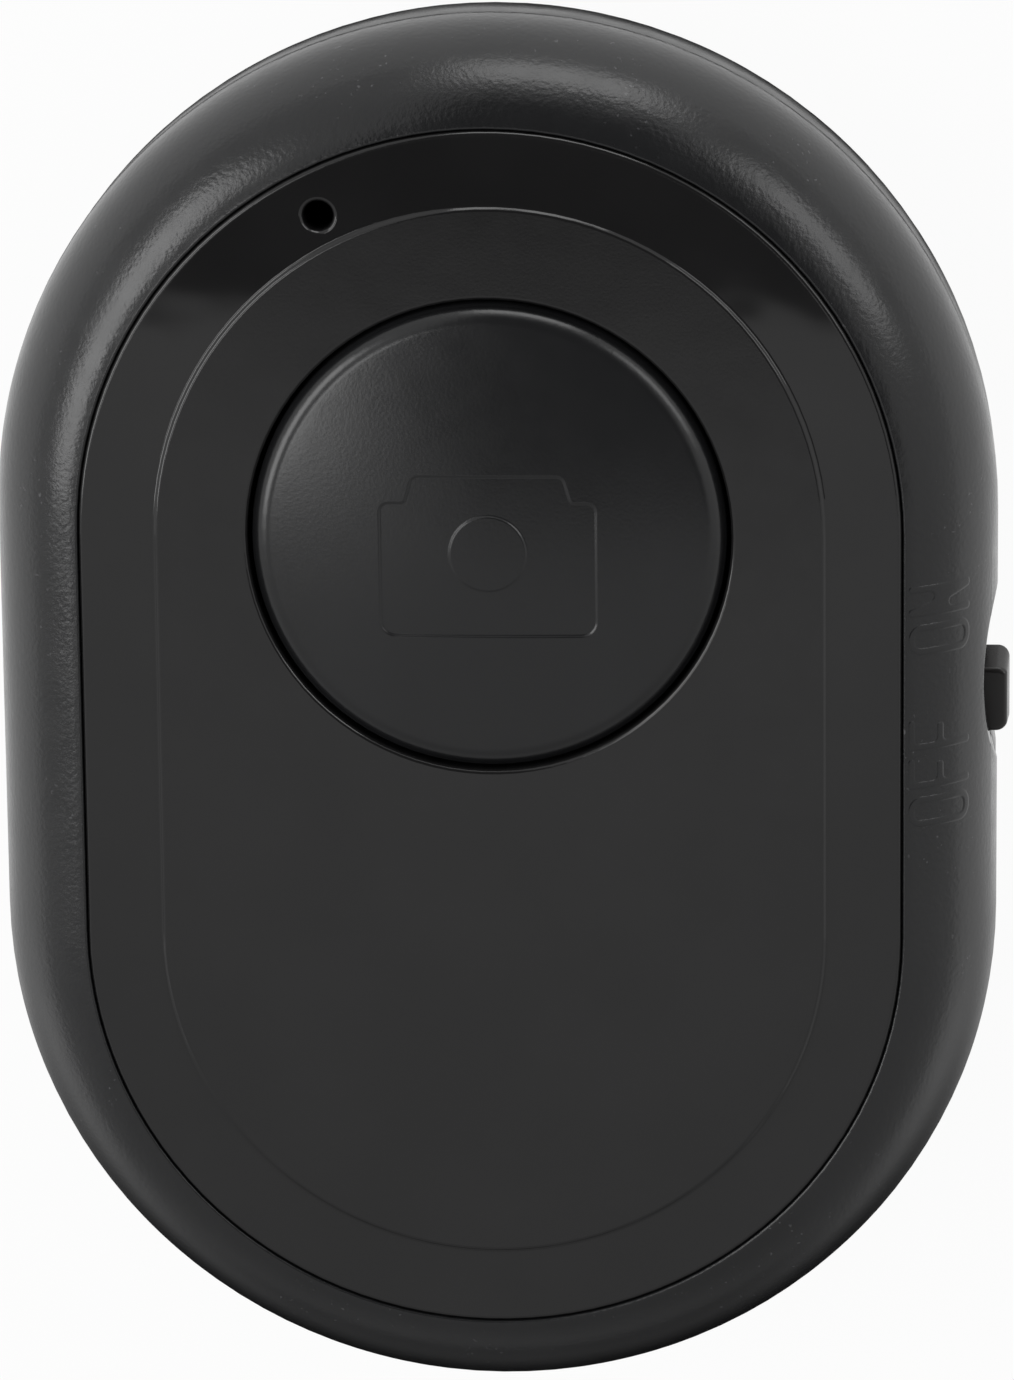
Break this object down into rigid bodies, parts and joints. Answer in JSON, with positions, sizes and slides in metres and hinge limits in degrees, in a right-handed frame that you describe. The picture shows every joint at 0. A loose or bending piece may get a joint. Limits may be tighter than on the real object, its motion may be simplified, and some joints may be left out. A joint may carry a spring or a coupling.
{
  "type": "bluetooth camera shutter remote",
  "caption": "Pocket camera shutter remote: pill-shaped case with one domed button in its face, a slide switch in its side and a board and coin cell under a lift-off back.",
  "frame": {"origin": "centre of the flat back, on the surface that the remote lies on", "axes": "+Z out of the face, +Y towards the button end, +X towards the slide switch"},
  "size_m": [0.0344, 0.048, 0.0118],
  "materials": {
    "housing_plastic": "satin moulded black ABS with a fine spark texture",
    "panel_plastic": "glossy ring round a fine matte field, black ABS",
    "button_plastic": "satin black ABS",
    "knob_plastic": "semi-gloss black nylon",
    "cover_plastic": "satin moulded black ABS with a fine spark texture",
    "board_laminate": "green solder mask over glass laminate",
    "screw_steel": "zinc-plated steel",
    "copper_track": "gold-flashed copper",
    "cell_steel": "nickel-plated steel",
    "cell_seal": "nylon seal",
    "cell_cap": "nickel-plated cap; stands for the cell's filling too",
    "clip_steel": "nickel-plated spring steel",
    "contact_gold": "gold-flashed spring bronze",
    "switch_plastic": "black nylon",
    "switch_steel": "bright stainless sheet",
    "snap_bronze": "silvered spring bronze",
    "chip_epoxy": "moulded epoxy",
    "crystal_steel": "nickel silver can",
    "capacitor_ceramic": "sintered ceramic",
    "resistor_film": "glazed film on ceramic",
    "tin": "tinned ends and leads",
    "light_base": "white moulded base",
    "light_lens": "clear resin over the light"
  },
  "bodies": {
    "cover": {"back_cover": "cover_plastic"},
    "housing": {"front_housing": "housing_plastic", "face_panel": "panel_plastic", "circuit_board": "board_laminate", "board_screws": "screw_steel", "aerial_track": "copper_track", "coin_cell_can": "cell_steel", "coin_cell_seal": "cell_seal", "coin_cell_cap": "cell_cap", "battery_clip": "clip_steel", "negative_contact": "contact_gold", "push_switch_base": "switch_plastic", "push_switch_cover": "switch_steel", "push_switch_dome": "snap_bronze", "push_switch_legs": "tin", "slide_switch_base": "switch_plastic", "slide_switch_shell": "switch_steel", "slide_switch_legs": "tin", "radio_chip": "chip_epoxy", "memory_chip": "chip_epoxy", "memory_chip_leads": "tin", "crystal": "crystal_steel", "chip_capacitors": "capacitor_ceramic", "chip_resistors": "resistor_film", "chip_ends": "tin", "status_light_base": "light_base", "status_light_lens": "light_lens"},
    "button": {"shutter_button": "button_plastic", "push_switch_plunger": "switch_plastic"},
    "switch": {"switch_knob": "knob_plastic", "slide_switch_slider": "switch_plastic"}
  },
  "joints": [
    {"name": "cover_off", "type": "slide", "parent": "cover", "child": "housing", "axis": [0, 0, 1], "range_m": [0, 0.012]},
    {"name": "button_press", "type": "slide", "parent": "housing", "child": "button", "axis": [0, 0, -1], "range_m": [0, 0.00025], "stiffness_N_per_m": 4000, "springref_m": -0.00015, "deforming": ["push_switch_dome"]},
    {"name": "switch_slide", "type": "slide", "parent": "housing", "child": "switch", "axis": [0, 1, 0], "range_m": [0, 0.0015]}
  ]
}
